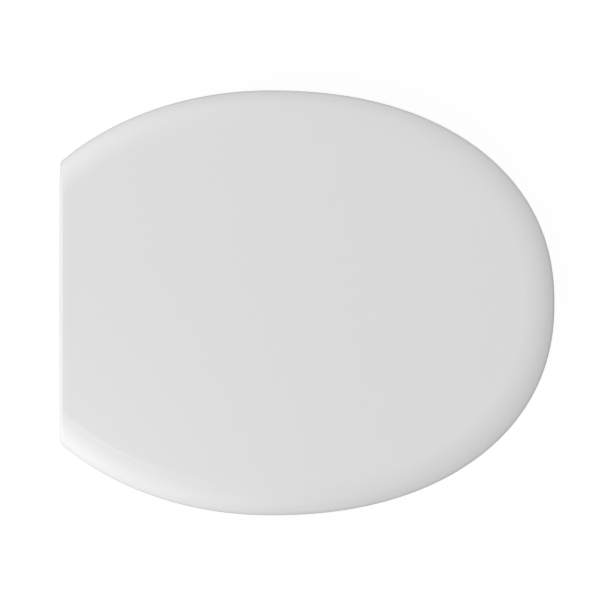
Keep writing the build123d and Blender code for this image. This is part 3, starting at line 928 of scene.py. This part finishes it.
class SEAT_OT_ring(Operator):
    """Builds the ring: dished top, hollow underside, hinge lugs and bumper bosses"""

    bl_idname = "seat.ring"
    bl_label = "Ring"

    def execute(self, context):
        scene = context.scene
        lid, ring, bumper = scene.seat_lid, scene.seat_ring, scene.seat_bumper
        lug = self.lug(ring, scene.seat_hinge)
        shells = [loft(ring_shell(lid, ring), ring=True)]
        margin, edge = 0.002, 0.0006
        length, width = bumper.length - margin, bumper.width - margin
        for side in SIDES.values():
            shells.append(loft(side_of(lug, side), ring=True))
            for _, turn, place in pads(bumper):
                roof = dish_height(ring, place) - ring.skin / 2
                boss = pad(length, width, ring.bottom, roof, edge, edge)
                shells.append(loft(side_of(turned_to(boss, turn, place), side)))
        build("ring_shell", "seat_ring", "white_resin", shells)
        return {"FINISHED"}

    def lug(self, ring, hinge):
        """Drilled plate from the hinge to the ring's rear wall, which it meets over the wall's thickness."""
        root, edge = ring.foot_round, 0.001
        low, high = ring.bottom + 2 * root, ring.bottom + ring.depth - 2 * root
        near, far = ring.rear + root, ring.rear + ring.wall - root
        centres = [(HINGE_X, HINGE_Z), (near, low), (far, low), (near, high), (far, high)]
        radii, start = [hinge.lug] + 4 * [root], RING_BUSH_LOW[1]
        return drilled_lug(centres, radii, hinge.bush, start, start + hinge.lug_width, edge)


# Bumpers


def pads(bumper):
    """End, turn and middle seen from above of each pad under the ring's left half."""
    for end, turn in (("front", bumper.front_angle), ("rear", bumper.rear_angle)):
        low, high = box(f"ring_bumper_{end}_left")
        yield end, turn, (low + high)[:2] / 2


def pad(length, width, low, high, low_round, high_round):
    """Oblong with round ends, upright between two levels."""
    half = (length - width) / 2
    return slab([(-half, 0.0), (half, 0.0)], [width / 2, width / 2], low, high, low_round, high_round)


def turned_to(loops, turn, place):
    """Loops turned about Z and moved to a place."""
    x = loops[..., 0] * np.cos(turn) - loops[..., 1] * np.sin(turn) + place[0]
    y = loops[..., 0] * np.sin(turn) + loops[..., 1] * np.cos(turn) + place[1]
    return np.stack([x, y, loops[..., 2]], axis=-1)


class SEAT_OT_bumpers(Operator):
    """Builds the pads under the ring and the buttons under the lid"""

    bl_idname = "seat.bumpers"
    bl_label = "Bumpers"

    def execute(self, context):
        bumper, ring = context.scene.seat_bumper, context.scene.seat_ring
        button, top_edge = self.button(bumper), 0.0003
        for name, side in SIDES.items():
            build(f"lid_button_{name}", f"lid_bumper_{name}", "clear_rubber", [loft(side_of(button, side))])
            for end, turn, place in pads(bumper):
                node = f"ring_bumper_{end}_{name}"
                low = box(node)[0][2]
                block = pad(bumper.length, bumper.width, low, ring.bottom, bumper.edge, top_edge)
                block = side_of(turned_to(block, turn, place), side)
                build(f"ring_pad_{end}_{name}", node, "clear_rubber", [loft(block)])
        return {"FINISHED"}

    def button(self, bumper):
        """Round button with a stem that goes up into the lid's boss."""
        place, seat = button_place()
        low, high = box("lid_bumper_left")
        radius, stem, edge = (high - low)[0] / 2, bumper.stem, 0.0004
        corners = [(0, low[2], 0), (radius, low[2], bumper.button_edge), (radius, seat, edge)]
        corners += [(stem, seat, 0), (stem, high[2], edge), (0, high[2], 0)]
        return turned(corners) + np.array([*place, 0.0])


# Hinges

COLUMN_ARC_STEPS = 14
DOME_SHARE = 0.9999
CLIP_CREST_SHARE = 0.4
CLIP_DISH_SHARE = 1.6 / 3


class SEAT_OT_hinges(Operator):
    """Builds the hinge posts, pins, clips and bushes"""

    bl_idname = "seat.hinges"
    bl_label = "Hinges"

    def execute(self, context):
        hinge, fixing = context.scene.seat_hinge, context.scene.seat_fixing
        column, arm, barrel = self.column(hinge, fixing), self.arm(hinge, fixing), self.barrel(hinge, fixing)
        lid_sleeve = self.sleeve(hinge, LID_BUSH_LOW[1], LID_BUSH_HIGH[1])
        ring_sleeve = self.sleeve(hinge, RING_BUSH_HIGH[1], RING_BUSH_LOW[1])
        pieces = [
            ("pin", "hinge_pin", "steel", self.pin(hinge), False),
            ("clip", "pin_clip", "steel", self.clip(hinge), True),
            ("lid_sleeve", "lid_bush", "white_nylon", lid_sleeve, True),
            ("ring_sleeve", "ring_bush", "white_nylon", ring_sleeve, True),
        ]
        for name, side in SIDES.items():
            shells = [loft(side_of(loops, side)) for loops in (column, arm)]
            shells.append(loft(side_of(barrel, side), ring=True))
            build(f"post_{name}", f"hinge_post_{name}", "chromed_metal", shells)
            for piece, node, slot, loops, ring in pieces:
                build(f"{piece}_{name}", f"{node}_{name}", slot, [loft(side_of(loops, side), ring)])
        return {"FINISHED"}

    def column(self, hinge, fixing):
        """Flared foot and column with a domed top, hollow for the bolt's head."""
        foot, wide = POST_LOW[2], POST_HIGH[0]
        flare_top = foot + hinge.flange + wide - hinge.column
        socket_top, top = box("fixing_bolt_left")[1][2], hinge.column_rise + hinge.column
        mouth, foot_edge, flange_edge, flare = 0.0003, 0.0008, 0.0012, 0.0035
        corners = [
            (0, socket_top, 0),
            (fixing.head, socket_top, 0),
            (fixing.head, foot, mouth),
            (wide, foot, foot_edge),
            (wide, foot + hinge.flange, flange_edge),
            (hinge.column, flare_top, flare),
            (hinge.column, top, hinge.column * DOME_SHARE),
            (0, top, 0),
        ]
        return turned(corners, steps=COLUMN_ARC_STEPS) + np.array([0.0, fixing.spacing / 2, 0.0])

    def arm(self, hinge, fixing):
        """Flat arm from the column back to the barrel."""
        middle, half = fixing.spacing / 2, hinge.arm_width / 2
        ends, radii = [(HINGE_X, HINGE_Z), (0.0, hinge.column_rise)], [hinge.arm_eye, hinge.arm_end]
        return upright(slab(ends, radii, middle - half, middle + half, hinge.arm_round, hinge.arm_round))

    def barrel(self, hinge, fixing):
        """Bored barrel on the hinge axis."""
        middle, half = fixing.spacing / 2, hinge.barrel_length / 2
        mouth, edge = 0.0003, 0.0008
        edges = (mouth, edge, edge, mouth)
        return along_hinge(bored_disc(hinge.pin, hinge.barrel, middle - half, middle + half, edges))

    def pin(self, hinge):
        """Pin with a domed head and a rounded tail."""
        low, high = box("hinge_pin_left")
        shoulder = high[1] - hinge.head_depth
        tail, edge, dome = 0.0008, 0.0004, 0.0022
        corners = [(0, low[1], 0), (hinge.pin, low[1], tail), (hinge.pin, shoulder, 0)]
        corners += [(hinge.pin_head, shoulder, edge), (hinge.pin_head, high[1], dome), (0, high[1], 0)]
        return along_hinge(turned(corners))

    def clip(self, hinge):
        """Dished push-on clip at the pin's tail."""
        low, high = box("pin_clip_left")
        radius, depth = (high - low)[0] / 2, (high - low)[1]
        crest, dish = low[1] + CLIP_CREST_SHARE * depth, low[1] + CLIP_DISH_SHARE * depth
        mouth, edge, bend, wide, narrow = 0.0001, 0.0002, 0.0003, 0.001, 0.0008
        corners = [
            (hinge.pin, low[1], mouth),
            (hinge.pin + wide, low[1], edge),
            (radius - narrow, crest, bend),
            (radius, crest, edge),
            (radius, high[1], edge),
            (radius - wide, high[1], bend),
            (hinge.pin + narrow, dish, bend),
            (hinge.pin, dish, mouth),
        ]
        return along_hinge(turned(corners, BORED_POINTS))

    def sleeve(self, hinge, near, far):
        """Bush in a lug, its collar at the near end, towards the barrel."""
        face = near + np.sign(far - near) * hinge.collar_depth
        edge, collar_edge = 0.0002, 0.0003
        corners = [
            (hinge.pin, near, edge),
            (hinge.collar, near, collar_edge),
            (hinge.collar, face, collar_edge),
            (hinge.bush, face, 0),
            (hinge.bush, far, edge),
            (hinge.pin, far, edge),
        ]
        return along_hinge(turned(corners, BORED_POINTS))


# Fixings

BOLT_POINTS = 48
ROWS_PER_PITCH = 10
THREAD_FLAT = 0.125
RUN_OUT_PITCHES = 1.5
TIP_LENGTH = 0.0015
TIP_TAPER = 0.0008


def thread_rows(fixing, low, high):
    """Screw thread on a grid of height and turn: its radius is a triangle wave of the height in pitches less
    the turn, with flattened crests and roots. It fades out at the shank and narrows to the tip."""
    rows = int(np.ceil((high - low) / fixing.pitch * ROWS_PER_PITCH))
    level = np.linspace(high, low, rows)[:, None]
    turn = np.linspace(0, FULL_TURN, BOLT_POINTS, endpoint=False)
    phase = (level - low) / fixing.pitch - turn / FULL_TURN
    wave = np.abs(2 * (phase - np.floor(phase)) - 1)
    wave = np.clip((1 + 2 * THREAD_FLAT) * wave - THREAD_FLAT, 0, 1)
    fade = np.clip((high - level) / (RUN_OUT_PITCHES * fixing.pitch), 0, 1)
    tip = np.clip(1 - (level - low) / TIP_LENGTH, 0, 1)
    radius = fixing.thread - fixing.groove * np.maximum(wave * fade, tip) - TIP_TAPER * tip
    return np.stack([radius * np.cos(turn), radius * np.sin(turn), level + 0 * turn], axis=-1)


class SEAT_OT_fixings(Operator):
    """Builds the gaskets, bolts, cone washers, flat washers and wing nuts"""

    bl_idname = "seat.fixings"
    bl_label = "Fixings"

    def execute(self, context):
        fixing = context.scene.seat_fixing
        pieces = [
            ("gasket", "base_gasket", "clear_rubber", [loft(self.gasket(fixing), ring=True)]),
            ("bolt", "fixing_bolt", "steel", [loft(self.bolt(fixing))]),
            ("cone", "cone_washer", "black_rubber", [loft(self.cone(fixing), ring=True)]),
            ("washer", "flat_washer", "steel", [loft(self.washer(fixing), ring=True)]),
            ("nut", "wing_nut", "white_nylon", self.nut(fixing)),
        ]
        for name, side in SIDES.items():
            at_bolt = np.array([0.0, side * fixing.spacing / 2, 0.0])
            for piece, node, slot, shells in pieces:
                placed = [(points + at_bolt, faces) for points, faces in shells]
                build(f"{piece}_{name}", f"{node}_{name}", slot, placed)
        return {"FINISHED"}

    def gasket(self, fixing):
        """Soft disc round the bolt's head."""
        low, high = box("base_gasket_left")
        play, mouth, edge = 0.0003, 0.0004, 0.0009
        radius = (high - low)[0] / 2
        return bored_disc(fixing.head + play, radius, low[2], high[2], (mouth, edge, edge, mouth))

    def bolt(self, fixing):
        """Head, plain shank and thread with a tapered tip."""
        low, high = box("fixing_bolt_left")
        shank_end = -fixing.shank_length
        head_edge, edge = 0.0006, 0.0002
        corners = [
            (0, high[2], 0),
            (fixing.head, high[2], head_edge),
            (fixing.head, 0.0, edge),
            (fixing.shank, 0.0, 0),
            (fixing.shank, shank_end, edge),
            (fixing.thread, shank_end, 0),
        ]
        thread = thread_rows(fixing, low[2], shank_end)
        end = thread[-1:] * np.array([0.0, 0.0, 1.0])
        return np.concatenate([turned(corners, BOLT_POINTS), thread, end])

    def cone(self, fixing):
        """Rubber cone with a straight rim below."""
        low, high = box("cone_washer_left")
        radius = (high - low)[0] / 2
        mouth, edge, cone_edge = 0.0003, 0.0005, 0.0008
        corners = [
            (fixing.hole, low[2], mouth),
            (radius, low[2], edge),
            (radius, low[2] + fixing.cone_rim, cone_edge),
            (fixing.cone_tip, high[2], cone_edge),
            (fixing.hole, high[2], mouth),
        ]
        return turned(corners, BORED_POINTS)

    def washer(self, fixing):
        """Flat washer under the cone, its lower outer edge rounder than the others."""
        low, high = box("flat_washer_left")
        mouth, low_edge, high_edge = 0.0002, 0.0005, 0.0003
        edges = (mouth, low_edge, high_edge, mouth)
        return bored_disc(fixing.hole, (high - low)[0] / 2, low[2], high[2], edges)

    def nut(self, fixing):
        """Tapered hub and two swept wings."""
        low, high = box("wing_nut_left")
        base, top, root = high[2] - fixing.hub_height, high[2], fixing.hub / 2
        low_mouth, low_edge, high_edge, high_mouth = 0.0004, 0.001, 0.0006, 0.0003
        hub = turned([
            (fixing.thread, base, low_mouth),
            (fixing.hub - fixing.taper, base, low_edge),
            (fixing.hub, top, high_edge),
            (fixing.thread, top, high_mouth),
        ], BORED_POINTS)
        tip, half = fixing.wing_tip, fixing.wing / 2
        sink, corner, edge = 0.0025, 0.001, 0.0009
        centres = [(high[0] - tip, low[2] + tip), (root, base + sink), (root, top - sink)]
        centres.append((fixing.hub - sink, top - sink))
        radii = [tip] + 3 * [corner]
        wing = upright(slab(centres, radii, -half, half, edge, edge))
        return [loft(hub, ring=True), loft(wing), loft(wing * np.array([-1.0, 1.0, 1.0]))]


# Stage

FLOOR_HALF = 4.0
FLOOR_LEVEL = -0.165
SKY_LEVEL = 0.695
SKY_FALL = 0.17
CAMERA_HEIGHT = 3.0
CAMERA_SHIFT = (-0.0066, 0.0025)
FRAME_WIDTH = 0.523
SENSOR_WIDTH = 36.0
FAR_CLIP = 50.0

# Far lamps: bearing, height and spread in degrees, level on a surface that faces the lamp, mirrored or not
FAR_LAMPS = {
    "left_lamp": (90.0, 10.0, 50.0, 0.17, False),
    "right_lamp": (-90.0, 10.0, 50.0, 0.10, False),
    "rear_lamp": (-170.0, 0.0, 16.0, 0.48, False),
    "glint_lamp": (-135.0, 72.0, 12.0, 0.04, True),
}
FAR_LAMP_PLACE = (0.0, 0.0, 1.0)

# Softboxes: bearing in degrees and distance from a rear corner, power in watts
SOFTBOXES = {
    "left_softbox": (125.0, 0.18, 0.017),
    "right_softbox": (-125.0, 0.26, 0.145),
}
SOFTBOX_SIZE = 0.12
SOFTBOX_LEVEL = 0.070
SOFTBOX_TILT = 8.0


class SEAT_OT_stage(Operator):
    """Sets the floor, the soft studio light and the camera over the lid"""

    bl_idname = "seat.stage"
    bl_label = "Stage"

    def execute(self, context):
        self.floor(context.scene)
        self.sky(context.scene)
        self.lamps(context.scene)
        self.camera(context.scene)
        context.scene.view_settings.view_transform = "Standard"
        return {"FINISHED"}

    def floor(self, scene):
        """Large square below the lid's lowest swing: pale where it is seen, dim where it lights the seat."""
        mesh = bpy.data.meshes.new("floor")
        ends = [(-1, -1), (1, -1), (1, 1), (-1, 1)]
        corners = [(FLOOR_HALF * x, FLOOR_HALF * y, FLOOR_LEVEL) for x, y in ends]
        mesh.from_pydata(corners, [], [(0, 1, 2, 3)])
        finish, colours = Finish("floor"), scene.seat_finish
        camera, glossy, through = finish.rays()
        direct = camera + through
        finish.set(
            Base_Color=finish.blend(direct + glossy, tuple(colours.floor_bounce), tuple(colours.floor)),
            Roughness=0.9 + 0.05 * finish.noise(finish.place(), per_metre=3.0),
            Emission_Color=finish.blend(direct, (0.0, 0.0, 0.0), tuple(colours.floor_glow)),
            Emission_Strength=1.0,
        )
        mesh.materials.append(finish.material)
        floor = bpy.data.objects.new("floor", mesh)
        scene.collection.objects.link(floor)

    def sky(self, scene):
        """White sky where it is seen; as light on the seat it dims evenly from the rear to the front."""
        world = bpy.data.worlds.new("studio")
        world.use_nodes = True
        nodes = Nodes(world.node_tree)
        camera, glossy, through = nodes.rays()
        seen = camera + glossy + through
        direction = nodes.output("Generated", "TexCoord", {}, {})
        ahead = nodes.output("X", "SeparateXYZ", {}, {0: direction})
        level = seen + (1.0 - seen) * (SKY_LEVEL - SKY_FALL * ahead)
        nodes.fill(world.node_tree.nodes["Background"], {"Color": (1.0, 1.0, 1.0, 1.0), "Strength": level})
        scene.world = world

    def lamps(self, scene):
        """Soft lamps low at the sides and the rear, a small high one, and a softbox off each rear corner."""
        for name, (bearing, height, spread, level, mirrored) in FAR_LAMPS.items():
            data = bpy.data.lights.new(name, "SUN")
            data.angle = np.radians(spread)
            data.energy = np.pi * level
            self.hang(scene, name, data, FAR_LAMP_PLACE, bearing, height, mirrored)
        for name, (bearing, distance, power) in SOFTBOXES.items():
            data = bpy.data.lights.new(name, "AREA")
            data.size = SOFTBOX_SIZE
            data.energy = power
            turn = np.radians(bearing)
            corner_y = np.sign(bearing) * scene.seat_lid.rear_width / 2
            x, y = LID_LOW[0] + distance * np.cos(turn), corner_y + distance * np.sin(turn)
            self.hang(scene, name, data, (x, y, SOFTBOX_LEVEL), bearing, SOFTBOX_TILT, False)

    def hang(self, scene, name, data, place, bearing, height, mirrored):
        """Puts a lamp in a place, its light coming from a bearing and a height in degrees."""
        lamp = bpy.data.objects.new(name, data)
        scene.collection.objects.link(lamp)
        lamp.location = place
        lamp.rotation_euler = (np.radians(90.0 - height), 0.0, np.radians(bearing + 90.0))
        lamp.visible_glossy = mirrored

    def camera(self, scene):
        """Long lens straight above the lid, the front of the seat to the right."""
        data = bpy.data.cameras.new("camera")
        data.sensor_fit = "HORIZONTAL"
        data.sensor_width = SENSOR_WIDTH
        data.lens = SENSOR_WIDTH * CAMERA_HEIGHT / FRAME_WIDTH
        data.clip_end = FAR_CLIP
        camera = bpy.data.objects.new("camera", data)
        scene.collection.objects.link(camera)
        middle = (LID_LOW[0] + LID_HIGH[0]) / 2
        shift_x, shift_y = CAMERA_SHIFT
        camera.location = (middle + shift_x, shift_y, CAMERA_HEIGHT + scene.seat_lid.rim)
        scene.camera = camera


class SEAT_PT_panel(Panel):
    """Lists the pieces and their sizes"""

    bl_idname = "SEAT_PT_panel"
    bl_label = "Toilet seat"
    bl_space_type = "VIEW_3D"
    bl_region_type = "UI"
    bl_category = "Seat"

    def draw(self, context):
        for operator in OPERATORS:
            self.layout.operator(operator.bl_idname)
        for name, group in GROUPS.items():
            part = self.layout.box()
            part.label(text=group.__doc__)
            for key in group.__annotations__:
                part.prop(getattr(context.scene, name), key)


OPERATORS = (SEAT_OT_lid, SEAT_OT_ring, SEAT_OT_bumpers, SEAT_OT_hinges, SEAT_OT_fixings, SEAT_OT_stage)
CLASSES = (*GROUPS.values(), *OPERATORS, SEAT_PT_panel)


def register():
    """Registers the classes and hangs the sizes on the scene."""
    for cls in CLASSES:
        bpy.utils.register_class(cls)
    for name, group in GROUPS.items():
        setattr(bpy.types.Scene, name, PointerProperty(type=group))


def unregister():
    """Takes the sizes off the scene and removes the classes."""
    for name in GROUPS:
        delattr(bpy.types.Scene, name)
    for cls in reversed(CLASSES):
        bpy.utils.unregister_class(cls)


def main():
    """Builds the seat and its stage."""
    register()
    bpy.ops.seat.lid()
    bpy.ops.seat.ring()
    bpy.ops.seat.bumpers()
    bpy.ops.seat.hinges()
    bpy.ops.seat.fixings()
    bpy.ops.seat.stage()
    bpy.context.view_layer.update()


if __name__ == "__main__":
    main()
